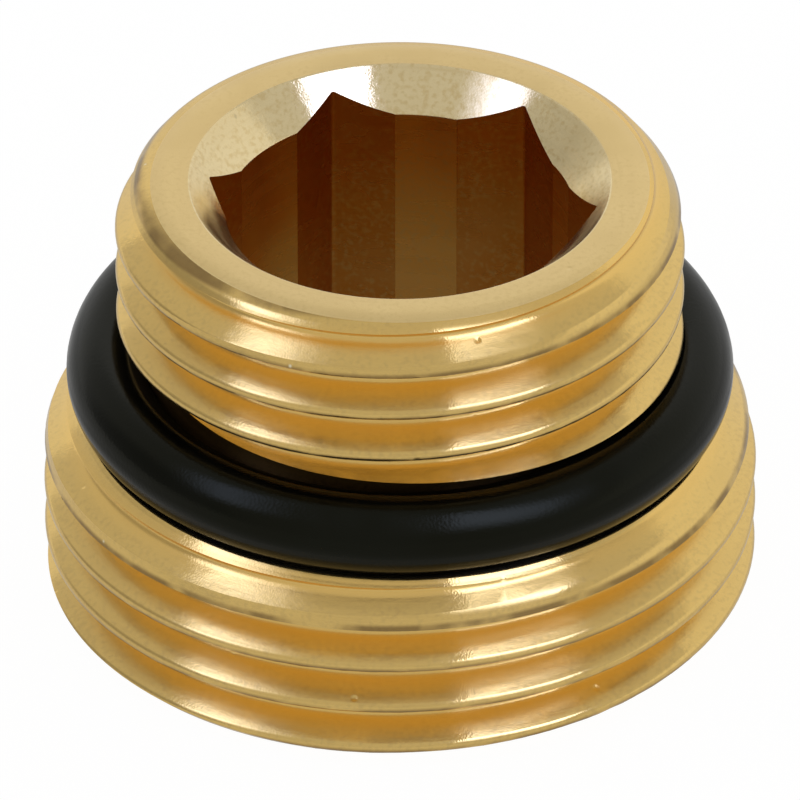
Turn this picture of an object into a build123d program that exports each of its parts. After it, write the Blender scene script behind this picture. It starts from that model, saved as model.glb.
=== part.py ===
"""Radiator reducer: a turned brass double nipple with a key socket and a rubber sealing ring.

The nipple stands on its wide end with its axis on Z. The origin is the middle of its foot, and the
front line that the thread crests are measured on is the -Y side. All sizes are in millimetres.
"""

import os
from math import ceil, cos, radians, tan

from build123d import *

os.makedirs("parts", exist_ok=True)

# Thread form, the same on both ends: 55 degree pipe thread, right hand, with flat crests and roots
threads_per_inch = 14
flank_angle = 27.5
half_inch_diameter = 20.955
three_quarter_diameter = 26.441
half_inch_crest_level = 13.67
three_quarter_crest_level = 0.77
cutter_overrun = 0.2

# Body heights and edges
total_height = 17.0
collar_height = 7.25
foot_chamfer = 0.6
chamfer_below_root = 0.04
neck_below_root = 0.02

# Key socket from the top, with the drilled core that it was broached from
key_across_flats = 12.5
key_turn = -10.0
core_relief = 0.15
countersink_width = 1.35

# Tapered seat for the pipe in the foot
seat_depth = 5.0
seat_half_angle = 15.0
seat_ledge = 0.45

# Sealing ring on the neck
ring_section = 3.0
ring_gap = 0.05
ring_room = 0.25

# Sizes worked out from the ones above
pitch = 25.4 / threads_per_inch
flank_slope = tan(radians(flank_angle))
thread_depth = pitch / flank_slope / 3
thread_flat = pitch / 6
end_chamfer = thread_depth + chamfer_below_root

half_inch_radius = half_inch_diameter / 2
collar_radius = three_quarter_diameter / 2
neck_radius = half_inch_radius - thread_depth - neck_below_root
neck_top = collar_height + ring_gap + ring_section + ring_room

socket_corner_radius = key_across_flats / 2 / cos(radians(30))
core_radius = key_across_flats / 2 + core_relief
countersink_radius = core_radius + countersink_width
seat_floor_radius = socket_corner_radius + seat_ledge
seat_mouth_radius = seat_floor_radius + seat_depth * tan(radians(seat_half_angle))

ring_radius = neck_radius + ring_gap + ring_section / 2
ring_level = collar_height + ring_gap + ring_section / 2


def thread_groove(major_radius, low, high):
    """Return the space that a threading tool clears, starting at height low on the +X side.

    The path is a chain of half turns of a right-hand helix, enough of them to pass height high.
    """
    root_radius = major_radius - thread_depth
    outer_radius = major_radius + cutter_overrun
    outer_half_width = thread_flat / 2 + (outer_radius - root_radius) * flank_slope
    half_turn = Helix(pitch, pitch / 2, root_radius, mode=Mode.PRIVATE)
    steps = range(ceil((high - low) / (pitch / 2)))
    path = Wire([Pos(Z=low + step * pitch / 2) * Rot(Z=180 * step) * half_turn for step in steps])
    with BuildPart() as groove:
        with BuildSketch(Plane.XZ):
            with BuildLine():
                Polyline(
                    (root_radius, low - thread_flat / 2),
                    (outer_radius, low - outer_half_width),
                    (outer_radius, low + outer_half_width),
                    (root_radius, low + thread_flat / 2),
                    close=True,
                )
            make_face()
        sweep(path=path, is_frenet=True, clean=False)
    return groove.part


def turn_to_crest(crest_level, low):
    """Return the angle that brings a groove from height low to leave a crest at crest_level in front."""
    return 360 * (low - crest_level - pitch / 2) / pitch - 90


# The grooves start in the open: under the foot, and in the middle of the neck
three_quarter_start = -pitch
half_inch_start = (collar_height + neck_top) / 2
three_quarter_groove = thread_groove(collar_radius, three_quarter_start, collar_height + pitch)
half_inch_groove = thread_groove(half_inch_radius, half_inch_start, total_height + pitch)

# Brass body: turned profile with the bore, then the broached socket, then both threads
with BuildPart() as reducer_body:
    with BuildSketch(Plane.XZ):
        with BuildLine():
            Polyline(
                (seat_mouth_radius, 0),
                (collar_radius - foot_chamfer, 0),
                (collar_radius, foot_chamfer),
                (collar_radius, collar_height - end_chamfer),
                (collar_radius - end_chamfer, collar_height),
                (neck_radius, collar_height),
                (neck_radius, neck_top),
                (half_inch_radius, neck_top),
                (half_inch_radius, total_height - end_chamfer),
                (half_inch_radius - end_chamfer, total_height),
                (countersink_radius, total_height),
                (core_radius, total_height - countersink_width),
                (core_radius, seat_depth),
                (seat_floor_radius, seat_depth),
                close=True,
            )
        make_face()
    revolve(axis=Axis.Z)
    with BuildSketch(Plane.XY):
        RegularPolygon(key_across_flats / 2, 6, major_radius=False, rotation=key_turn)
    extrude(amount=total_height, mode=Mode.SUBTRACT)
    three_quarter_turn = turn_to_crest(three_quarter_crest_level, three_quarter_start)
    add(three_quarter_groove, rotation=(0, 0, three_quarter_turn), mode=Mode.SUBTRACT)
    half_inch_turn = turn_to_crest(half_inch_crest_level, half_inch_start)
    add(half_inch_groove, rotation=(0, 0, half_inch_turn), mode=Mode.SUBTRACT)
reducer_body.part.label = "reducer_body"

# Rubber ring, round in section, on the collar's shoulder around the neck
with BuildPart() as o_ring:
    with BuildSketch(Plane.XZ):
        with Locations((ring_radius, ring_level)):
            Circle(ring_section / 2)
    revolve(axis=Axis.Z)
o_ring.part.label = "o_ring"

export_step(reducer_body.part, "parts/reducer_body.step")
export_step(o_ring.part, "parts/o_ring.step")
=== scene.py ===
"""Radiator reducer: a turned brass body with two pipe threads and a black sealing ring.

Both pieces are dressed over their solids. Sizes in the classes are millimetres, and MM turns them into
Blender's metres. The axis is Z, the foot stands on z = 0, and the photograph looks along +Y from above.
"""

import logging
import math
from collections.abc import Callable
from dataclasses import dataclass
from enum import Enum

import bmesh
import bpy
from mathutils import Matrix, Vector


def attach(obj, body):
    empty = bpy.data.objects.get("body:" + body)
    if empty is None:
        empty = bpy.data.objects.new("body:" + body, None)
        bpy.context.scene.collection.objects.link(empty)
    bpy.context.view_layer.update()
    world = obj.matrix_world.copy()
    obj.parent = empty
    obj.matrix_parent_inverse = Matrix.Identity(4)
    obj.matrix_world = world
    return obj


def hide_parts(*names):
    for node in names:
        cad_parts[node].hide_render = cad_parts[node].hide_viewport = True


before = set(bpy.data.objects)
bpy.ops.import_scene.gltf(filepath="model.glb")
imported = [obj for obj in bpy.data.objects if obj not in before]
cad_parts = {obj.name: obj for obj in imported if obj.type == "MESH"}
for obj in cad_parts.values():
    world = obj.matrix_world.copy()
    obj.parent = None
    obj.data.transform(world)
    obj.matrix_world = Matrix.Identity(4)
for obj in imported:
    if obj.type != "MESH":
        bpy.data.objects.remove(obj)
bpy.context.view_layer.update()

MM = 0.001
SAME_PLACE = 1e-4 * MM
MERGE_GAP = 2e-4 * MM
NEAR_AXIS = 1e-3 * MM
QUARTER_TURN = 0.25
HEXAGON_SIDES = 6
log = logging.getLogger("radiator_reducer")

Point = tuple[float, float]
Triple = tuple[float, float, float]
Values = dict[str, float]
Piece = bpy.types.Object
Tree = bpy.types.NodeTree
Socket = bpy.types.NodeSocket
Element = bmesh.types.BMVert | bmesh.types.BMEdge | bmesh.types.BMFace


class Bench:
    """The hand moves that every piece is made with."""

    @staticmethod
    def clear() -> None:
        """Leave edit mode and deselect everything."""
        if bpy.context.object and bpy.context.object.mode != "OBJECT":
            bpy.ops.object.mode_set(mode="OBJECT")
        bpy.ops.object.select_all(action="DESELECT")

    @staticmethod
    def take(piece: Piece) -> None:
        """Make one piece the only one selected, and the active one.

        Args:
            piece: the object.
        """
        Bench.clear()
        piece.select_set(True)
        bpy.context.view_layer.objects.active = piece

    @staticmethod
    def edit(piece: Piece, mode: str = "VERT") -> None:
        """Open a piece in edit mode with nothing selected.

        Args:
            piece: the object.
            mode: what is selected from then on: VERT, EDGE or FACE.
        """
        Bench.take(piece)
        bpy.ops.object.mode_set(mode="EDIT")
        bpy.ops.mesh.select_mode(type=mode)
        bpy.ops.mesh.select_all(action="DESELECT")

    @staticmethod
    def pick(piece: Piece, kind: str, test: Callable[[Element], bool]) -> None:
        """Select the vertices, edges or faces that pass a test.

        Args:
            piece: the object, open in edit mode.
            kind: verts, edges or faces.
            test: takes one of them.
        """
        mesh = bmesh.from_edit_mesh(piece.data)
        for element in getattr(mesh, kind):
            element.select_set(test(element))
        mesh.select_flush_mode()
        bmesh.update_edit_mesh(piece.data)

    @staticmethod
    def trace(name: str, section: list[Point], closed: bool) -> Piece:
        """Draw a section in the XZ plane by extruding one point along it.

        Args:
            name: the new object's name.
            section: radius and height of each corner, in millimetres.
            closed: whether the last corner is joined to the first.

        Returns:
            The wire object.
        """
        Bench.clear()
        bpy.ops.mesh.primitive_plane_add(size=MM, location=(0, 0, 0))
        wire = bpy.context.object
        wire.name = name
        bpy.ops.object.mode_set(mode="EDIT")
        bpy.ops.mesh.select_mode(type="VERT")
        bpy.ops.mesh.select_all(action="SELECT")
        bpy.ops.mesh.merge(type="CENTER")
        last = (0.0, 0.0)
        for step, corner in enumerate(section):
            move = ((corner[0] - last[0]) * MM, 0, (corner[1] - last[1]) * MM)
            if step == 0:
                bpy.ops.transform.translate(value=move)
            else:
                bpy.ops.mesh.extrude_vertices_move(TRANSFORM_OT_translate={"value": move})
            last = corner
        if closed:
            ends = (section[0], section[-1])
            Bench.pick(wire, "verts", lambda vert: any(Bench.is_at(vert.co, end) for end in ends))
            bpy.ops.mesh.edge_face_add()
        return wire

    @staticmethod
    def is_at(place: Vector, corner: Point) -> bool:
        """Whether a place in metres is a corner given in millimetres of radius and height."""
        return math.hypot(place.x - corner[0] * MM, place.z - corner[1] * MM) < SAME_PLACE

    @staticmethod
    def ease(wire: Piece, corner: Point, reach: float, segments: int) -> None:
        """Round one corner of a traced section.

        Args:
            wire: the traced section, open in edit mode.
            corner: the corner in millimetres of radius and height.
            reach: how far the round runs along both sides, in millimetres.
            segments: the round's number of edges.
        """
        bpy.ops.mesh.select_all(action="DESELECT")
        Bench.pick(wire, "verts", lambda vert: Bench.is_at(vert.co, corner))
        bpy.ops.mesh.bevel(offset_type="OFFSET", offset=reach * MM, segments=segments,
                           affect="VERTICES")

    @staticmethod
    def lathe(steps: int, start: float) -> None:
        """Spin the traced section that is open in edit mode round the axis into a closed solid.

        Args:
            steps: the number of columns round the axis.
            start: the angle of the first column, in degrees.
        """
        bpy.ops.mesh.select_all(action="SELECT")
        bpy.ops.transform.rotate(value=-math.radians(start), orient_axis="Z",
                                 center_override=(0, 0, 0))
        bpy.ops.mesh.spin(steps=steps, angle=math.tau, center=(0, 0, 0), axis=(0, 0, 1))
        Bench.close_up()

    @staticmethod
    def close_up() -> None:
        """Merge doubles and turn all faces outwards on the piece that is open, and leave edit mode."""
        bpy.ops.mesh.select_all(action="SELECT")
        bpy.ops.mesh.remove_doubles(threshold=MERGE_GAP)
        bpy.ops.mesh.select_all(action="SELECT")
        bpy.ops.mesh.normals_make_consistent(inside=False)
        bpy.ops.object.mode_set(mode="OBJECT")

    @staticmethod
    def combine(piece: Piece, tool: Piece, operation: str) -> None:
        """Cut or join one solid with another, which is used up.

        Args:
            piece: the solid that stays.
            tool: the solid that is used up.
            operation: INTERSECT, UNION or DIFFERENCE.
        """
        Bench.take(piece)
        cut = piece.modifiers.new(operation.lower(), "BOOLEAN")
        cut.operation = operation
        cut.solver = "EXACT"
        cut.object = tool
        bpy.ops.object.modifier_apply(modifier=cut.name)
        bpy.data.objects.remove(tool)


class Sketch:
    """A node tree that is being wired."""

    def __init__(self, tree: Tree) -> None:
        """Start on an empty tree."""
        self.tree = tree
        self.tree.nodes.clear()

    def add(self, kind: str, sockets: dict[str | int, object] | None = None,
            **settings: object) -> bpy.types.Node:
        """Add a node and set or link its inputs.

        Args:
            kind: the node's type name, without the ShaderNode in front.
            sockets: input names or numbers, with a value or the socket that feeds each.
            settings: the node's own properties.

        Returns:
            The new node.
        """
        family = "NodeGroup" if kind in ("Input", "Output") else "ShaderNode"
        node = self.tree.nodes.new(family + kind)
        for key, value in settings.items():
            setattr(node, key, value)
        for key, value in (sockets or {}).items():
            if isinstance(value, Socket):
                self.tree.links.new(value, node.inputs[key])
            else:
                node.inputs[key].default_value = value
        return node

    def place(self, tree: Tree, values: Values) -> bpy.types.NodeOutputs:
        """Place a shared effect with its own values, and give its outputs."""
        return self.add("Group", values, node_tree=tree).outputs

    def math(self, operation: str, first: object, second: object = 0.0, third: object = 0.0) -> Socket:
        """One sum, by Blender's name for it, on values or sockets."""
        return self.add("Math", {0: first, 1: second, 2: third}, operation=operation).outputs[0]

    def ramp(self, value: Socket, low: float, high: float, start: float = 0.0,
             end: float = 1.0) -> Socket:
        """A smooth step from the start level to the end level, while the value goes from low to high."""
        names = {"Value": value, "From Min": low, "From Max": high, "To Min": start, "To Max": end}
        return self.add("MapRange", names, interpolation_type="SMOOTHSTEP").outputs["Result"]

    def bump(self, height: Socket, distance: float, under: Socket | None = None,
             invert: bool = False) -> Socket:
        """Raise or sink a surface.

        Args:
            height: the height from 0 to 1.
            distance: the height of 1, in millimetres.
            under: the normal of what lies under it.
            invert: whether it is sunk.

        Returns:
            The normal's socket.
        """
        sockets: dict[str | int, object] = {"Distance": distance * MM, "Height": height}
        if under is not None:
            sockets["Normal"] = under
        return self.add("Bump", sockets, invert=invert).outputs[0]

    def choose(self, second_one: Socket, first: Socket, second: Socket) -> Socket:
        """Take the second value where the switch is 1, and the first where it is 0."""
        return self.add("Mix", {0: second_one, 2: first, 3: second}, data_type="FLOAT").outputs[0]

    def blend(self, share: Socket, first: object, second: object) -> Socket:
        """Mix two colours, with the share of the second one."""
        return self.add("Mix", {0: share, 6: first, 7: second}, data_type="RGBA").outputs[2]


class Effects:
    """The surface effects that several finishes share, each built once as a node group."""

    def __init__(self, thread_pitch: float) -> None:
        """Build every group.

        Args:
            thread_pitch: the pitch of both threads, in millimetres.
        """
        self.thread_pitch = thread_pitch
        self.rings = self.build_rings()
        self.cloud = self.build_cloud()
        self.thread_place = self.build_thread_place()
        self.specks = self.build_specks()

    @staticmethod
    def start(name: str, inputs: Values,
              outputs: list[str]) -> tuple[Sketch, dict[str, Socket], bpy.types.Node]:
        """Begin a group with named value sockets.

        Args:
            name: the group's name.
            inputs: the input names and their usual values.
            outputs: the output names.

        Returns:
            The sketch, the input sockets by name, and the output node.
        """
        tree = bpy.data.node_groups.new(name, "ShaderNodeTree")
        sketch = Sketch(tree)
        for key, value in inputs.items():
            socket = tree.interface.new_socket(key, in_out="INPUT", socket_type="NodeSocketFloat")
            socket.default_value = value
        for key in outputs:
            tree.interface.new_socket(key, in_out="OUTPUT", socket_type="NodeSocketFloat")
        given = sketch.add("Input")
        return sketch, {key: given.outputs[key] for key in inputs}, sketch.add("Output")

    @staticmethod
    def cylinder(sketch: Sketch) -> tuple[Socket, Socket, Socket, Socket]:
        """Read the place on the part as a lathe does.

        Args:
            sketch: the tree that gets the nodes.

        Returns:
            Radius and height in millimetres, and the cosine and sine of the angle.
        """
        place = sketch.add("TexCoord").outputs["Object"]
        axes = sketch.add("SeparateXYZ", {0: place}).outputs
        squares = [sketch.math("POWER", axes[axis], 2.0) for axis in (0, 1)]
        flat = sketch.math("SQRT", sketch.math("ADD", *squares))
        safe = sketch.math("MAXIMUM", flat, NEAR_AXIS)
        cosine = sketch.math("DIVIDE", axes[0], safe)
        sine = sketch.math("DIVIDE", axes[1], safe)
        return sketch.math("DIVIDE", flat, MM), sketch.math("DIVIDE", axes[2], MM), cosine, sine

    def build_rings(self) -> Tree:
        """Marks that a cutting tool leaves round the axis, fading in and out on the way round.

        Returns:
            A group with Height from 0 to 1.
        """
        inputs = {"Lines per mm": 8.0, "Change round": 2.0, "Detail": 2.0, "Seed": 0.0}
        sketch, given, out = self.start("tool_rings", inputs, ["Height"])
        radius, height, cosine, sine = self.cylinder(sketch)
        across = sketch.math("MULTIPLY", radius, given["Lines per mm"])
        up = sketch.math("MULTIPLY", height, given["Lines per mm"])
        side = sketch.math("MULTIPLY_ADD", cosine, given["Change round"], given["Seed"])
        turn = sketch.math("MULTIPLY_ADD", sine, given["Change round"], given["Seed"])
        place = sketch.add("CombineXYZ", {0: across, 1: up, 2: side}).outputs[0]
        sockets = {"Vector": place, "W": turn, "Scale": 1.0, "Detail": given["Detail"]}
        noise = sketch.add("TexNoise", sockets, noise_dimensions="4D")
        sketch.tree.links.new(noise.outputs["Fac"], out.inputs["Height"])
        return sketch.tree

    def build_cloud(self) -> Tree:
        """Soft uneven patches.

        Returns:
            A group with Mask from 0 to 1.
        """
        inputs = {"Patches per mm": 0.4, "Low": 0.4, "High": 0.6, "Detail": 2.0, "Seed": 0.0}
        sketch, given, out = self.start("uneven_patches", inputs, ["Mask"])
        place = sketch.add("TexCoord").outputs["Object"]
        scale = sketch.math("DIVIDE", given["Patches per mm"], MM)
        sockets = {"Vector": place, "W": given["Seed"], "Scale": scale, "Detail": given["Detail"]}
        noise = sketch.add("TexNoise", sockets, noise_dimensions="4D")
        mask = sketch.ramp(noise.outputs["Fac"], given["Low"], given["High"])
        sketch.tree.links.new(mask, out.inputs["Mask"])
        return sketch.tree

    def build_thread_place(self) -> Tree:
        """Where a point lies between the crest and the root of a right hand thread.

        Returns:
            A group with Depth, 0 on the crest line and 1 on the root line, and Phase, the share of a pitch
            above the crest line, from -0.5 to 0.5.
        """
        sketch, given, out = self.start("thread_place", {"Crest level": 0.0}, ["Depth", "Phase"])
        _, height, cosine, sine = self.cylinder(sketch)
        angle = sketch.math("ARCTAN2", sine, cosine)
        turns = sketch.math("DIVIDE", sketch.math("ADD", angle, math.pi / 2), math.tau)
        above = sketch.math("SUBTRACT", height, given["Crest level"])
        rise = sketch.math("DIVIDE", above, self.thread_pitch)
        phase = sketch.math("WRAP", sketch.math("SUBTRACT", rise, turns), 0.5, -0.5)
        depth = sketch.math("MULTIPLY", sketch.math("ABSOLUTE", phase), 2.0)
        sketch.tree.links.new(depth, out.inputs["Depth"])
        sketch.tree.links.new(phase, out.inputs["Phase"])
        return sketch.tree

    def build_specks(self) -> Tree:
        """Small round spots, few or many.

        Returns:
            A group with Mask from 0 to 1.
        """
        inputs = {"Spots per mm": 2.0, "Size": 0.2, "Kept": 0.3, "Seed": 0.0}
        sketch, given, out = self.start("small_spots", inputs, ["Mask"])
        place = sketch.add("TexCoord").outputs["Object"]
        scale = sketch.math("DIVIDE", given["Spots per mm"], MM)
        offset = sketch.add("CombineXYZ", {0: sketch.math("MULTIPLY", given["Seed"], MM)}).outputs[0]
        moved = sketch.add("VectorMath", {0: place, 1: offset}, operation="ADD").outputs[0]
        cells = sketch.add("TexVoronoi", {"Vector": moved, "Scale": scale}, voronoi_dimensions="3D")
        near = sketch.math("SUBTRACT", 1.0, sketch.ramp(cells.outputs["Distance"], 0.0, given["Size"]))
        lot = sketch.add("SeparateColor", {0: cells.outputs["Color"]}).outputs[0]
        kept = sketch.math("LESS_THAN", lot, given["Kept"])
        sketch.tree.links.new(sketch.math("MULTIPLY", near, kept), out.inputs["Mask"])
        return sketch.tree


# What the shared effects are set to in the finishes
TOOL_MARKS = {"Lines per mm": 9.0, "Change round": 2.5, "Seed": 2.0}
BRASS_GLOSS = {"Lines per mm": 1.6, "Change round": 1.4, "Seed": 9.0}
BRASS_WAVER = {"Lines per mm": 2.6, "Change round": 14.0, "Seed": 15.0}
BRASS_STREAKS = {"Lines per mm": 4.0, "Change round": 1.0, "Seed": 3.0}
BRASS_GRAIN = {"Patches per mm": 14.0, "Low": 0.2, "High": 0.8, "Detail": 0.0, "Seed": 5.0}
BRASS_PATCHES = {"Patches per mm": 0.32, "Low": 0.42, "High": 0.72, "Seed": 1.0}
BRASS_MOTTLE = {"Patches per mm": 5.0, "Low": 0.42, "High": 0.7, "Seed": 11.0}
# patches that break up the painted shade under the crests
BRASS_SHADE_BREAKS = {"Patches per mm": 0.5, "Low": 0.3, "High": 0.55, "Seed": 13.0}
BRASS_BURRS = {"Spots per mm": 1.3, "Size": 0.13, "Kept": 0.07, "Seed": 14.0}
BRASS_DENTS = {"Spots per mm": 0.9, "Size": 0.16, "Kept": 0.16, "Seed": 4.0}
RUBBER_BLOOM = {"Patches per mm": 0.22, "Low": 0.4, "High": 0.75, "Seed": 7.0}
RUBBER_GRAIN = {"Patches per mm": 9.0, "Low": 0.2, "High": 0.8, "Detail": 0.0, "Seed": 8.0}
RUBBER_DUST = {"Spots per mm": 1.6, "Size": 0.07, "Kept": 0.12, "Seed": 6.0}


class Marks(Enum):
    """The way a tool ran over a brass face."""

    ROUND_THREAD = "round the axis, over both threads"
    ROUND_FACE = "round the axis, over a flat or a bore"
    ALONG = "along the axis"


class Cut(Enum):
    """The cut that made a face of the brass body."""

    TURNED = "turned or threaded"
    FACED = "faced flat"
    BORED = "countersink or seat"
    CORED = "wall of the drilled core"
    BROACHED = "wall of the key hexagon"
    # painted shade: these faces get a near black brass colour
    NECKED = "neck under the ring"


@dataclass(frozen=True)
class BrassFinish:
    """Bare yellow brass, as one kind of cut leaves it, with painted shade and painted reflection in some of
    its colours.
    """

    name: str
    marks: Marks
    colour: Triple = (0.85, 0.58, 0.18)
    # painted reflection: the warmer orange down in the thread, standing in for light bounced between the
    # flanks
    painted_reflection_colour: Triple = (0.92, 0.6, 0.17)
    dull_colour: Triple = (0.66, 0.45, 0.15)
    # painted shade: the dark brown under the crests
    under_crest_shade_colour: Triple = (0.13, 0.06, 0.015)
    burr_colour: Triple = (0.98, 0.88, 0.62)
    patch_share: float = 0.22
    streak_span: Point = (0.5, 0.85)
    streak_share: float = 0.35
    # where the painted reflection grows with depth, where it fades again at the very root, and how much of
    # it stays there
    painted_reflection_span: Point = (0.35, 0.9)
    painted_reflection_fade_span: Point = (0.9, 0.99)
    painted_reflection_root_share: float = 0.2
    # where the painted shade under the crests starts and ends, as a share of a pitch, and how strong it is
    under_crest_shade_rise: Point = (-0.19, -0.13)
    under_crest_shade_fall: Point = (-0.07, 0.03)
    under_crest_shade_share: float = 0.7
    burr_span: Point = (0.05, 0.16)
    roughness: float = 0.165
    roughness_spread: float = 0.05
    gloss_span: Point = (0.25, 0.75)
    stretch: float = 1.0
    along_lines: Triple = (9.0, 9.0, 0.25)
    along_detail: float = 3.0
    mark_height: float = 0.0022
    grain_height: float = 0.0008
    waver_height: float = 0.008
    dent_depth: float = 0.02
    mottle: float = 0.45
    sheen_weight: float = 0.25
    sheen_roughness: float = 0.2
    sheen_ior: float = 1.7

    def build(self, effects: Effects, crest_levels: Point, split: float) -> bpy.types.Material:
        """Wire the finish.

        Args:
            effects: the shared node groups.
            crest_levels: front crest heights of the large and the small thread, in millimetres.
            split: the height between the two threads, in millimetres.

        Returns:
            The material.
        """
        material = bpy.data.materials.new(self.name)
        material.use_nodes = True
        sketch = Sketch(material.node_tree)
        colour = self.colour_over(sketch, effects, crest_levels, split)
        marks = self.marks_over(sketch, effects)
        gloss = sketch.place(effects.rings, BRASS_GLOSS)[0]
        rough = sketch.ramp(gloss, *self.gloss_span, self.roughness - self.roughness_spread,
                            self.roughness + self.roughness_spread)
        waver = sketch.place(effects.rings, BRASS_WAVER)[0]
        grain = sketch.place(effects.cloud, BRASS_GRAIN)[0]
        dents = sketch.place(effects.specks, BRASS_DENTS)[0]
        hand = sketch.bump(waver, self.waver_height)
        coarse = sketch.bump(marks, self.mark_height, under=hand)
        fine = sketch.bump(grain, self.grain_height, under=coarse)
        worn = sketch.bump(dents, self.dent_depth, under=fine, invert=True)
        surface = sketch.add("BsdfPrincipled", {
            "Base Color": colour,
            "Metallic": 1.0,
            "Roughness": rough,
            "Anisotropic": self.stretch,
            "Anisotropic Rotation": QUARTER_TURN,
            "Tangent": self.tool_direction(sketch),
            "Coat Weight": self.sheen_weight,
            "Coat Roughness": self.sheen_roughness,
            "Coat IOR": self.sheen_ior,
            "Normal": worn,
            "Coat Normal": worn,
        })
        sketch.add("OutputMaterial", {"Surface": surface.outputs[0]})
        return material

    def colour_over(self, sketch: Sketch, effects: Effects, crest_levels: Point, split: float) -> Socket:
        """Brass colour with duller patches, a painted reflection down in the thread (a warmer orange that
        stands in for light bounced between the flanks), and painted shade under the crests.

        Args:
            sketch: the material's tree.
            effects: the shared node groups.
            crest_levels: front crest heights of the large and the small thread, in millimetres.
            split: the height between the two threads, in millimetres.

        Returns:
            The colour's socket.
        """
        patches = sketch.place(effects.cloud, BRASS_PATCHES)[0]
        streaks = sketch.place(effects.rings, BRASS_STREAKS)[0]
        streaked = sketch.ramp(streaks, *self.streak_span, 0.0, self.streak_share)
        mottle = sketch.place(effects.cloud, BRASS_MOTTLE)[0]
        worn = sketch.math("MAXIMUM", sketch.math("MULTIPLY", patches, self.patch_share), streaked)
        dull = sketch.math("MAXIMUM", worn, sketch.math("MULTIPLY", mottle, self.mottle))
        colour = sketch.blend(dull, (*self.colour, 1.0), (*self.dull_colour, 1.0))
        if self.marks is not Marks.ROUND_THREAD:
            return colour
        large, small = (sketch.place(effects.thread_place, {"Crest level": level})
                        for level in crest_levels)
        upper = sketch.math("GREATER_THAN", Effects.cylinder(sketch)[1], split)
        depth = sketch.choose(upper, large["Depth"], small["Depth"])
        phase = sketch.choose(upper, large["Phase"], small["Phase"])
        # painted reflection: warmer towards the root of each groove, less again right at the root
        reflection_rise = sketch.ramp(depth, *self.painted_reflection_span)
        reflection_root_fade = sketch.ramp(depth, *self.painted_reflection_fade_span, 1.0, self.painted_reflection_root_share)
        painted_reflection = sketch.math("MULTIPLY", reflection_rise, reflection_root_fade)
        reflected_brass = sketch.blend(painted_reflection, colour, (*self.painted_reflection_colour, 1.0))
        return self.shade_and_burrs_over(sketch, effects, reflected_brass, phase)

    def shade_and_burrs_over(self, sketch: Sketch, effects: Effects, colour: Socket, phase: Socket) -> Socket:
        """Painted shade: broken dark brown lines under the crests, where shadow falls, and bright specks of
        burr along them.

        Args:
            sketch: the material's tree.
            effects: the shared node groups.
            colour: the colour so far.
            phase: the share of a pitch above the crest line.

        Returns:
            The colour's socket.
        """
        # painted shade: a dark band just below each crest line, broken by patches
        rising = sketch.ramp(phase, *self.under_crest_shade_rise)
        falling = sketch.ramp(phase, *self.under_crest_shade_fall, 1.0, 0.0)
        under = sketch.math("MULTIPLY", rising, falling)
        shade_breaks = sketch.place(effects.cloud, BRASS_SHADE_BREAKS)[0]
        painted_shade = sketch.math("MULTIPLY", sketch.math("MULTIPLY", under, shade_breaks), self.under_crest_shade_share)
        shaded_brass = sketch.blend(painted_shade, colour, (*self.under_crest_shade_colour, 1.0))
        edge = sketch.ramp(sketch.math("ABSOLUTE", phase), *self.burr_span, 1.0, 0.0)
        spots = sketch.place(effects.specks, BRASS_BURRS)[0]
        return sketch.blend(sketch.math("MULTIPLY", edge, spots), shaded_brass, (*self.burr_colour, 1.0))

    def marks_over(self, sketch: Sketch, effects: Effects) -> Socket:
        """The height of the tool marks.

        Args:
            sketch: the material's tree.
            effects: the shared node groups.

        Returns:
            The height's socket.
        """
        if self.marks is not Marks.ALONG:
            return sketch.place(effects.rings, TOOL_MARKS)[0]
        place = sketch.add("TexCoord").outputs["Object"]
        scale = tuple(lines / MM for lines in self.along_lines)
        drawn = sketch.add("Mapping", {"Vector": place, "Scale": scale}).outputs[0]
        sockets = {"Vector": drawn, "Scale": 1.0, "Detail": self.along_detail}
        return sketch.add("TexNoise", sockets).outputs["Fac"]

    def tool_direction(self, sketch: Sketch) -> Socket:
        """The direction of the tool marks, which reflections spread across.

        Args:
            sketch: the material's tree.

        Returns:
            The direction's socket.
        """
        if self.marks is Marks.ALONG:
            return sketch.add("CombineXYZ", {2: 1.0}).outputs[0]
        place = sketch.add("TexCoord").outputs["Object"]
        axis = (0.0, 0.0, 1.0)
        along = sketch.add("VectorMath", {0: axis, 1: place}, operation="CROSS_PRODUCT").outputs[0]
        return sketch.add("VectorMath", {0: along}, operation="NORMALIZE").outputs[0]


@dataclass(frozen=True)
class RubberFinish:
    """Satin black rubber with a fine moulded grain."""

    name: str = "rubber_black_satin"
    colour: Triple = (0.0018, 0.002, 0.0019)
    dusty_colour: Triple = (0.006, 0.007, 0.0066)
    bloom_share: float = 0.5
    dust_share: float = 0.9
    roughness: Point = (0.17, 0.28)
    grain_height: float = 0.0018
    ior: float = 1.5
    shine: float = 0.15
    shine_tint: Triple = (1.0, 1.0, 0.64)

    def build(self, effects: Effects) -> bpy.types.Material:
        """Wire the finish.

        Args:
            effects: the shared node groups.

        Returns:
            The material.
        """
        material = bpy.data.materials.new(self.name)
        material.use_nodes = True
        sketch = Sketch(material.node_tree)
        bloom = sketch.place(effects.cloud, RUBBER_BLOOM)[0]
        grain = sketch.place(effects.cloud, RUBBER_GRAIN)[0]
        dust = sketch.place(effects.specks, RUBBER_DUST)[0]
        bloomed = sketch.math("MULTIPLY", bloom, self.bloom_share)
        share = sketch.math("MAXIMUM", bloomed, sketch.math("MULTIPLY", dust, self.dust_share))
        colour = sketch.blend(share, (*self.colour, 1.0), (*self.dusty_colour, 1.0))
        rough = sketch.ramp(bloom, 0.0, 1.0, *self.roughness)
        bump = sketch.bump(grain, self.grain_height)
        surface = sketch.add("BsdfPrincipled", {
            "Base Color": colour,
            "Roughness": rough,
            "IOR": self.ior,
            "Specular IOR Level": self.shine,
            "Specular Tint": (*self.shine_tint, 1.0),
            "Normal": bump,
        })
        sketch.add("OutputMaterial", {"Surface": surface.outputs[0]})
        return material


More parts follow.
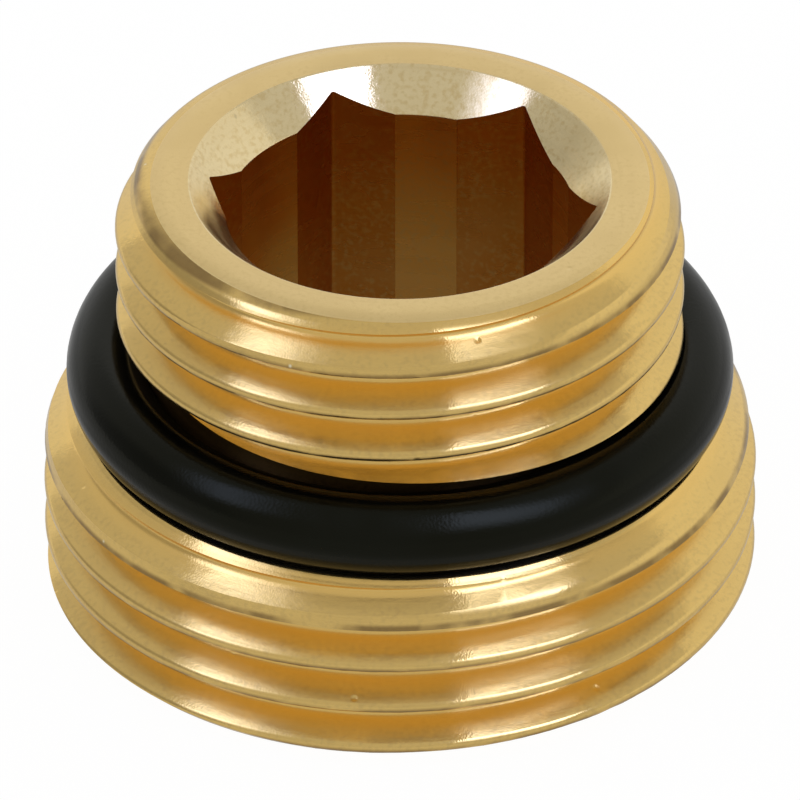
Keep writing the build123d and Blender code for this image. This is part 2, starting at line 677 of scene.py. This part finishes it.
@dataclass(frozen=True)
class PipeThread:
    """One right hand 55 degree pipe thread with its corners eased, as a chaser leaves them."""

    name: str
    major_radius: float
    crest_level: float
    lowest_crest: int
    turns: int
    pitch: float = 25.4 / 14
    flank_angle: float = 27.5
    crest_ease: float = 0.13
    root_round: float = 0.29
    crest_segments: int = 6
    root_segments: int = 10
    steps: int = 160
    burr_depth: Point = (0.012, 0.12)
    burr_phase: Point = (-0.25, 0.0)

    def build(self) -> Piece:
        """Screw one tooth's section into a rod that is longer than the thread.

        Returns:
            The closed rod.
        """
        slope = math.tan(math.radians(self.flank_angle))
        flat = self.pitch / 6
        crest = self.crest_level + self.pitch / 4 + self.lowest_crest * self.pitch
        root = (self.major_radius - (self.pitch - flat) / 2 / slope, crest + self.pitch / 2)
        corners = [
            (self.major_radius, crest),
            (self.major_radius, crest + flat / 2),
            root,
            (self.major_radius, crest + self.pitch - flat / 2),
            (self.major_radius, crest + self.pitch),
        ]
        rod = Bench.trace(self.name, corners, closed=False)
        for corner in (corners[1], corners[3]):
            Bench.ease(rod, corner, self.crest_ease, self.crest_segments)
        Bench.ease(rod, root, self.root_round / slope, self.root_segments)
        bpy.ops.object.mode_set(mode="OBJECT")
        screw = rod.modifiers.new("screw", "SCREW")
        screw.angle = math.tau
        screw.screw_offset = self.pitch * MM
        screw.iterations = self.turns
        screw.steps = screw.render_steps = self.steps
        screw.use_merge_vertices = True
        screw.merge_threshold = MERGE_GAP
        bpy.ops.object.modifier_apply(modifier=screw.name)
        self.close_ends(rod)
        return rod

    def close_ends(self, rod: Piece) -> None:
        """Close both open ends of the rod with a fan to one point.

        Args:
            rod: the screwed strip.
        """
        middle = sum((vert.co.z for vert in rod.data.vertices), 0.0) / len(rod.data.vertices)
        Bench.edit(rod, "VERT")
        bpy.ops.mesh.select_all(action="SELECT")
        bpy.ops.mesh.remove_doubles(threshold=MERGE_GAP)
        for side in (-1, 1):
            bpy.ops.mesh.select_mode(type="EDGE")
            bpy.ops.mesh.select_all(action="DESELECT")
            Bench.pick(rod, "edges", lambda edge, side=side: (
                edge.is_boundary and (edge.verts[0].co.z + edge.verts[1].co.z - 2 * middle) * side > 0))
            bpy.ops.mesh.extrude_edges_move()
            bpy.ops.mesh.merge(type="CENTER")
        Bench.close_up()

    def is_burred(self, place: Vector) -> bool:
        """Whether a place lies on the lower edge of a crest, where the chaser leaves a burr.

        Args:
            place: a vertex's place in metres.

        Returns:
            True on the lower edge.
        """
        turns = (math.atan2(place.y, place.x) + math.pi / 2) / math.tau
        rise = (place.z / MM - self.crest_level) / self.pitch - turns
        phase = (rise + 0.5) % 1.0 - 0.5
        depth = self.major_radius - math.hypot(place.x, place.y) / MM
        on_edge = self.burr_depth[0] < depth < self.burr_depth[1]
        return on_edge and self.burr_phase[0] < phase < self.burr_phase[1]


@dataclass(frozen=True)
class Corner:
    """One corner of a turned section and how far it is eased, in millimetres."""

    radius: float
    height: float
    ease: float = 0.0

    @property
    def point(self) -> Point:
        """The corner's radius and height."""
        return (self.radius, self.height)


@dataclass
class ReducerBody:
    """The brass body, turned from one bar, threaded at both ends and broached for a key."""

    large_thread: PipeThread
    small_thread: PipeThread
    finishes: dict[Cut, BrassFinish]
    height: float = 17.0
    shoulder: float = 7.25
    foot_chamfer: float = 0.6
    lead_length: float = 1.84
    end_lip: float = 1.6
    end_roll: Point = (0.9, 0.2)
    end_nose: Point = (0.2275, 1.07)
    collar_flat: float = 2.0
    collar_burr: Point = (1.43, 0.15)
    collar_lip: float = 1.27
    collar_nose: Point = (0.36, 0.62)
    neck_radius: float = 9.2958
    neck_top: float = 10.43
    neck_fillet: float = 0.2
    key_across_flats: float = 12.5
    key_turn: float = -8.8
    key_shift: Point = (0.1, 0.03)
    key_corner_ease: float = 0.1
    key_corner_segments: int = 4
    broach_overrun: float = 1.0
    socket_limit: float = 7.4
    core_radius: float = 6.4
    core_gap: float = 0.02
    countersink_radius: float = 7.75
    seat_depth: float = 5.0
    seat_floor_radius: float = 7.667
    seat_mouth_radius: float = 9.007
    blank_over: float = 0.03
    ease_segments: int = 5
    columns: int = 160
    smooth_angle: float = 14.0
    flat_limit: float = 0.97
    upright_limit: float = 0.05
    inward_limit: float = 0.2
    round_limit: float = 0.9995
    burr_height: float = 0.014
    burr_seed: int = 5

    @property
    def split(self) -> float:
        """The height that parts the two threads."""
        return (self.shoulder + self.neck_top) / 2

    def build(self, effects: Effects) -> Piece:
        """Make the body and dress it.

        Args:
            effects: the shared node groups.

        Returns:
            The finished piece.
        """
        body = self.turn_blank()
        rods = self.large_thread.build()
        Bench.combine(rods, self.small_thread.build(), "UNION")
        Bench.combine(body, rods, "INTERSECT")
        Bench.combine(body, self.key_broach(), "DIFFERENCE")
        Bench.edit(body)
        bpy.ops.mesh.select_all(action="SELECT")
        bpy.ops.mesh.dissolve_degenerate(threshold=SAME_PLACE)
        Bench.close_up()
        self.ruffle(body)
        self.dress(body, effects)
        return body

    def ruffle(self, body: Piece) -> None:
        """Roughen the lower edges of the crests of both threads.

        Args:
            body: the cut shape.
        """
        middle = self.split * MM
        for side, thread in ((-1, self.large_thread), (1, self.small_thread)):
            Bench.edit(body)
            Bench.pick(body, "verts", lambda vert, side=side, thread=thread: (
                (vert.co.z - middle) * side > 0 and thread.is_burred(vert.co)))
            bpy.ops.transform.vertex_random(offset=self.burr_height * MM, seed=self.burr_seed)
        Bench.clear()

    def turn_blank(self) -> Piece:
        """Turn the blank: chamfers, collar, neck, small end, countersink, core and seat.

        Returns:
            The closed blank, a little over size on the threads.
        """
        large = self.large_thread.major_radius
        small = self.small_thread.major_radius
        over = self.blank_over
        corners = [
            Corner(self.seat_mouth_radius, 0.0, ease=0.08),
            Corner(large - self.foot_chamfer, 0.0, ease=0.06),
            Corner(large + over, self.foot_chamfer + over),
            Corner(large + over, self.shoulder - self.lead_length),
            Corner(large - self.collar_nose[0], self.shoulder - self.collar_nose[1], ease=0.2),
            Corner(large - self.collar_lip, self.shoulder, ease=0.04),
            Corner(large - self.collar_burr[0], self.shoulder + self.collar_burr[1], ease=0.05),
            Corner(large - self.collar_flat, self.shoulder, ease=0.1),
            Corner(self.neck_radius, self.shoulder, ease=0.15),
            Corner(self.neck_radius, self.neck_top),
            Corner(small + over, self.neck_top),
            Corner(small + over, self.height - self.lead_length),
            Corner(small - self.end_nose[0], self.height - self.end_nose[1], ease=0.2),
            Corner(small - self.end_roll[0], self.height - self.end_roll[1], ease=0.15),
            Corner(small - self.end_lip, self.height, ease=0.3),
            Corner(self.countersink_radius, self.height, ease=0.05),
            Corner(self.core_radius, self.height - self.countersink_radius + self.core_radius, ease=0.03),
            Corner(self.core_radius, self.seat_depth, ease=0.05),
            Corner(self.seat_floor_radius, self.seat_depth, ease=0.1),
        ]
        blank = Bench.trace("reducer_body_brass", [corner.point for corner in corners], closed=True)
        for corner in corners:
            if corner.ease:
                Bench.ease(blank, corner.point, corner.ease, self.ease_segments)
        Bench.lathe(self.columns, 180 / self.columns)
        return blank

    def key_broach(self) -> Piece:
        """The six sided broach that cuts the key socket.

        Returns:
            The closed tool.
        """
        Bench.clear()
        half_side = math.pi / HEXAGON_SIDES
        corner = self.key_across_flats / 2 / math.cos(half_side)
        low = self.seat_depth - self.broach_overrun
        high = self.height + self.broach_overrun
        bpy.ops.mesh.primitive_cylinder_add(
            vertices=HEXAGON_SIDES, radius=corner * MM, depth=(high - low) * MM,
            location=(0, 0, (low + high) / 2 * MM))
        tool = bpy.context.object
        bpy.ops.object.transform_apply(location=True, rotation=True, scale=True)
        Bench.edit(tool, "EDGE")
        bpy.ops.mesh.select_all(action="SELECT")
        bpy.ops.transform.rotate(value=half_side - math.radians(self.key_turn), orient_axis="Z",
                                 center_override=(0, 0, 0))
        bpy.ops.transform.translate(value=(self.key_shift[0] * MM, self.key_shift[1] * MM, 0))
        Bench.pick(tool, "edges", lambda edge: abs(edge.verts[0].co.z - edge.verts[1].co.z) > MM)
        bpy.ops.mesh.bevel(offset=self.key_corner_ease * MM, segments=self.key_corner_segments,
                           affect="EDGES")
        Bench.close_up()
        return tool

    def dress(self, body: Piece, effects: Effects) -> None:
        """Give each cut its own finish and shade the body.

        Args:
            body: the finished shape.
            effects: the shared node groups.
        """
        body.data.materials.clear()
        levels = (self.large_thread.crest_level, self.small_thread.crest_level)
        for finish in self.finishes.values():
            body.data.materials.append(finish.build(effects, levels, self.split))
        Bench.edit(body, "FACE")
        for slot, cut in enumerate(self.finishes):
            Bench.pick(body, "faces", lambda face, cut=cut: self.cut_of(face) is cut)
            body.active_material_index = slot
            bpy.ops.object.material_slot_assign()
        bpy.ops.object.mode_set(mode="OBJECT")
        Bench.take(body)
        bpy.ops.object.shade_smooth_by_angle(angle=math.radians(self.smooth_angle))
        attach(body, "root")
        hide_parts("reducer_body")

    def cut_of(self, face: bmesh.types.BMFace) -> Cut:
        """Which cut made a face.

        Args:
            face: a face of the body.

        Returns:
            The cut.
        """
        middle, normal = face.calc_center_median(), face.normal
        radius = math.hypot(middle.x, middle.y)
        outward = normal.x * middle.x + normal.y * middle.y
        inward = outward < -self.inward_limit * radius
        beside_neck = self.shoulder * MM < middle.z < self.neck_top * MM
        neck_limit = (self.neck_radius + self.neck_fillet) * MM
        # the neck's near black colour is painted shade, where the ring and the small thread hide it
        if beside_neck and self.countersink_radius * MM < radius < neck_limit:
            return Cut.NECKED
        if abs(normal.z) > self.flat_limit:
            return Cut.FACED
        if inward and abs(normal.z) < self.upright_limit and radius < self.socket_limit * MM:
            across = outward < -self.round_limit * radius
            on_core = abs(radius - self.core_radius * MM) < self.core_gap * MM
            return Cut.CORED if across and on_core else Cut.BROACHED
        return Cut.BORED if inward else Cut.TURNED


@dataclass
class SealingRing:
    """The black rubber ring on the neck."""

    finish: RubberFinish
    centre_radius: float = 10.8458
    level: float = 8.8
    section: float = 3.0
    columns: int = 192
    rows: int = 48
    flash: float = 0.012
    parting_limit: float = 0.1
    parting_inset: float = 0.03
    smooth_angle: float = 60.0

    def build(self, effects: Effects) -> Piece:
        """Make the ring, with its moulding line, and dress it.

        Args:
            effects: the shared node groups.

        Returns:
            The finished piece.
        """
        Bench.clear()
        bpy.ops.mesh.primitive_torus_add(
            major_radius=self.centre_radius * MM, minor_radius=(self.section / 2 - self.flash) * MM,
            major_segments=self.columns, minor_segments=self.rows, location=(0, 0, self.level * MM))
        ring = bpy.context.object
        ring.name = "o_ring_rubber"
        bpy.ops.object.transform_apply(location=True, rotation=True, scale=True)
        Bench.edit(ring, "FACE")
        Bench.pick(ring, "faces", lambda face: abs(face.normal.z) < self.parting_limit)
        bpy.ops.mesh.inset(thickness=self.parting_inset * MM, depth=0.0, use_boundary=True)
        bpy.ops.transform.shrink_fatten(value=self.flash / 2 * MM)
        Bench.close_up()
        ring.data.materials.clear()
        ring.data.materials.append(self.finish.build(effects))
        Bench.take(ring)
        bpy.ops.object.shade_smooth_by_angle(angle=math.radians(self.smooth_angle))
        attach(ring, "root")
        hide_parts("o_ring")
        return ring


@dataclass(frozen=True)
class SoftBox:
    """One rectangular soft lamp, placed by its middle and its two sides, in metres."""

    name: str
    middle: Triple
    across: Triple
    along: Triple
    radiance: float
    colour: Triple = (0.5, 0.57, 1.0)
    fade_across: Point = (0.02, 0.02)
    fade_along: Point = (0.02, 0.02)

    def build(self) -> None:
        """Hang the lamp, which only reflections see."""
        Bench.clear()
        bpy.ops.mesh.primitive_plane_add(size=1.0)
        panel = bpy.context.object
        panel.name = self.name
        x = Vector(self.across)
        z = x.cross(Vector(self.along)).normalized()
        y = z.cross(x).normalized() * Vector(self.along).length
        panel.matrix_world = Matrix.Translation(self.middle) @ Matrix((x, y, z)).transposed().to_4x4()
        panel.data.materials.append(self.cloth())
        panel.visible_camera = False
        panel.visible_diffuse = False

    def cloth(self) -> bpy.types.Material:
        """The glowing cloth, which fades towards its edges.

        Returns:
            The material.
        """
        material = bpy.data.materials.new(self.name)
        material.use_nodes = True
        sketch = Sketch(material.node_tree)
        axes = sketch.add("SeparateXYZ", {0: sketch.add("TexCoord").outputs["Object"]}).outputs
        share: object = 1.0
        for axis, (low, high) in enumerate((self.fade_across, self.fade_along)):
            rising = sketch.ramp(axes[axis], -0.5, -0.5 + low)
            falling = sketch.ramp(axes[axis], 0.5 - high, 0.5, 1.0, 0.0)
            share = sketch.math("MULTIPLY", share, sketch.math("MULTIPLY", rising, falling))
        sockets = {"Color": (*self.colour, 1.0), "Strength": self.radiance}
        glow = sketch.add("Emission", sockets).outputs[0]
        clear = sketch.add("BsdfTransparent").outputs[0]
        faded = sketch.add("MixShader", {0: share, 1: clear, 2: glow}).outputs[0]
        sketch.add("OutputMaterial", {"Surface": faded})
        return material


@dataclass
class Studio:
    """Floor, white surround, dim canopy, soft boxes and the camera of the photograph."""

    lights: tuple[SoftBox, ...]
    floor_size: float = 6.0
    floor_clearance: float = 0.02
    floor_colour: Triple = (0.5, 0.5, 0.5)
    floor_glow: float = 1.15
    floor_white_seen: float = 0.84
    floor_white_mirrored: float = 0.45
    floor_painted_shadow_radius: Point = (9.0, 12.8)
    floor_painted_shadow_share: float = 0.24
    surround_ambient: float = 0.5
    canopy_radius: float = 2.4
    canopy_columns: int = 48
    canopy_rows: int = 24
    canopy_pole: Triple = (-0.42, -0.62, 0.664)
    canopy_grey: float = 0.58
    canopy_left_grey: float = 0.34
    canopy_left_span: Point = (-0.92, -0.68)
    camera_elevation: float = 34.633
    camera_distance: float = 0.53868
    camera_target: float = 0.007186
    camera_lens: float = 654.1
    camera_sensor: float = 36.0
    camera_clip: Point = (0.01, 20.0)

    def build(self) -> None:
        """Set up the whole studio."""
        self.lay_floor()
        self.hang_canopy()
        self.surround()
        for light in self.lights:
            light.build()
        self.place_camera()
        bpy.context.scene.view_settings.view_transform = "Standard"

    @staticmethod
    def seen_or_mirrored(sketch: Sketch) -> tuple[Socket, Socket]:
        """Tell what looks at a surface.

        Args:
            sketch: the material's or the world's tree.

        Returns:
            Two sockets: 1 for the camera, and 1 for a reflection or a view through glass.
        """
        path = sketch.add("LightPath").outputs
        mirrored = sketch.math("MAXIMUM", path["Is Glossy Ray"], path["Is Transmission Ray"])
        return path["Is Camera Ray"], mirrored

    def lay_floor(self) -> None:
        """Lay a plain pale floor that keeps the shadow and can be looked through from below, with a painted
        shadow under the part that only reflections see.
        """
        Bench.clear()
        level = -self.floor_clearance * MM
        bpy.ops.mesh.primitive_plane_add(size=self.floor_size, location=(0, 0, level))
        floor = bpy.context.object
        floor.name = "floor"
        material = bpy.data.materials.new("floor_pale")
        material.use_nodes = True
        sketch = Sketch(material.node_tree)
        seen, mirrored = self.seen_or_mirrored(sketch)
        radius = Effects.cylinder(sketch)[0]
        # painted shadow: under and near the part, reflections see less of the floor's white glow
        outside_painted_shadow = sketch.ramp(radius, *self.floor_painted_shadow_radius, start=self.floor_painted_shadow_share)
        white_mirrored = sketch.math("MULTIPLY", outside_painted_shadow, self.floor_white_mirrored)
        share = sketch.math("ADD", sketch.math("MULTIPLY", seen, self.floor_white_seen),
                            sketch.math("MULTIPLY", mirrored, white_mirrored))
        matt = sketch.add("BsdfDiffuse", {"Color": (*self.floor_colour, 1.0)}).outputs[0]
        white = sketch.add("Emission", {"Strength": self.floor_glow}).outputs[0]
        top = sketch.add("MixShader", {0: share, 1: matt, 2: white}).outputs[0]
        under = sketch.add("BsdfTransparent").outputs[0]
        back = sketch.add("NewGeometry").outputs["Backfacing"]
        both = sketch.add("MixShader", {0: back, 1: top, 2: under}).outputs[0]
        sketch.add("OutputMaterial", {"Surface": both})
        floor.data.materials.append(material)

    def hang_canopy(self) -> None:
        """Hang a dim half dome over the front, which only reflections see."""
        Bench.clear()
        bpy.ops.mesh.primitive_uv_sphere_add(segments=self.canopy_columns, ring_count=self.canopy_rows,
                                             radius=self.canopy_radius)
        canopy = bpy.context.object
        canopy.name = "canopy"
        Bench.edit(canopy, "FACE")
        Bench.pick(canopy, "faces", lambda face: face.calc_center_median().z < 0)
        bpy.ops.mesh.delete(type="FACE")
        bpy.ops.object.mode_set(mode="OBJECT")
        canopy.data.transform(Vector(self.canopy_pole).to_track_quat("Z", "Y").to_matrix().to_4x4())
        material = bpy.data.materials.new("canopy_grey")
        material.use_nodes = True
        sketch = Sketch(material.node_tree)
        side = sketch.add("SeparateXYZ", {0: sketch.add("TexCoord").outputs["Object"]}).outputs[0]
        span = (share * self.canopy_radius for share in self.canopy_left_span)
        strength = sketch.ramp(side, *span, self.canopy_left_grey, self.canopy_grey)
        glow = sketch.add("Emission", {"Strength": strength}).outputs[0]
        sketch.add("OutputMaterial", {"Surface": glow})
        canopy.data.materials.append(material)
        canopy.visible_camera = False
        canopy.visible_diffuse = False
        canopy.visible_shadow = False

    def surround(self) -> None:
        """Make the surround white to the camera and to reflections, and a soft fill elsewhere."""
        world = bpy.data.worlds.new("surround")
        world.use_nodes = True
        sketch = Sketch(world.node_tree)
        seen, mirrored = self.seen_or_mirrored(sketch)
        white = sketch.math("MAXIMUM", seen, mirrored)
        strength = sketch.ramp(white, 0.0, 1.0, self.surround_ambient, 1.0)
        glow = sketch.add("Background", {"Strength": strength}).outputs[0]
        sketch.add("OutputWorld", {"Surface": glow})
        bpy.context.scene.world = world

    def place_camera(self) -> None:
        """Stand the camera where the photograph was taken from."""
        lens = bpy.data.cameras.new("camera")
        lens.lens = self.camera_lens
        lens.sensor_width = self.camera_sensor
        lens.clip_start, lens.clip_end = self.camera_clip
        holder = bpy.data.objects.new("camera", lens)
        tilt = math.radians(self.camera_elevation)
        back = Vector((0, -math.cos(tilt), math.sin(tilt)))
        holder.location = Vector((0, 0, self.camera_target)) + back * self.camera_distance
        holder.rotation_euler = (math.pi / 2 - tilt, 0, 0)
        bpy.context.scene.collection.objects.link(holder)
        bpy.context.scene.camera = holder


def main() -> None:
    """Build the part and its studio in order."""
    logging.basicConfig(level=logging.INFO, format="%(name)s: %(message)s")
    large = PipeThread("large_thread_rod", major_radius=13.2205, crest_level=0.77, lowest_crest=-2,
                       turns=6)
    small = PipeThread("small_thread_rod", major_radius=10.4775, crest_level=13.67, lowest_crest=-5,
                       turns=8)
    effects = Effects(large.pitch)
    socket_wall = {"stretch": 0.4, "waver_height": 0.0, "mark_height": 0.0004, "grain_height": 0.0002,
                   "sheen_weight": 0.0}
    finishes = {
        Cut.TURNED: BrassFinish("brass_turned", Marks.ROUND_THREAD),
        Cut.FACED: BrassFinish("brass_faced", Marks.ROUND_FACE, colour=(0.87, 0.64, 0.27), roughness=0.34,
                               stretch=0.35, mark_height=0.0006, grain_height=0.0014, mottle=0.25),
        Cut.BORED: BrassFinish("brass_bored", Marks.ROUND_FACE, colour=(0.9, 0.73, 0.4), roughness=0.17),
        # painted shade and painted reflection: the walls inside the key socket get darker, deeper orange
        # brass colours
        Cut.CORED: BrassFinish("brass_cored_painted_shade", Marks.ALONG, colour=(0.8, 0.42, 0.09), roughness=0.28,
                               **socket_wall),
        Cut.BROACHED: BrassFinish("brass_broached_painted_shade", Marks.ALONG, colour=(0.6, 0.23, 0.03), roughness=0.25,
                                  **socket_wall),
        # painted shade: near black brass on the neck under the ring and the small thread
        Cut.NECKED: BrassFinish("brass_neck_painted_shade", Marks.ROUND_FACE, colour=(0.1, 0.055, 0.015), roughness=0.4,
                                dull_colour=(0.05, 0.03, 0.01), sheen_weight=0.0),
    }
    body = ReducerBody(large, small, finishes).build(effects)
    log.info("%s: %d faces", body.name, len(body.data.polygons))
    ring = SealingRing(RubberFinish()).build(effects)
    log.info("%s: %d faces", ring.name, len(ring.data.polygons))
    right = SoftBox("softbox_right", middle=(0.5, -0.403, 0.736), across=(0.736, -0.198, 0.153),
                    along=(0.0325, 0.566, 0.816), radiance=5.2, fade_across=(0.03, 0.12),
                    fade_along=(0.4, 0.32))
    left = SoftBox("softbox_left", middle=(-0.501, -0.018, 0.834), across=(0.486, -0.158, 0.093),
                   along=(-0.078, 0.737, 0.943), radiance=4.0, fade_across=(0.35, 0.6),
                   fade_along=(0.2, 0.45))
    Studio((right, left)).build()
    log.info("studio set")


if __name__ == "__main__":
    main()
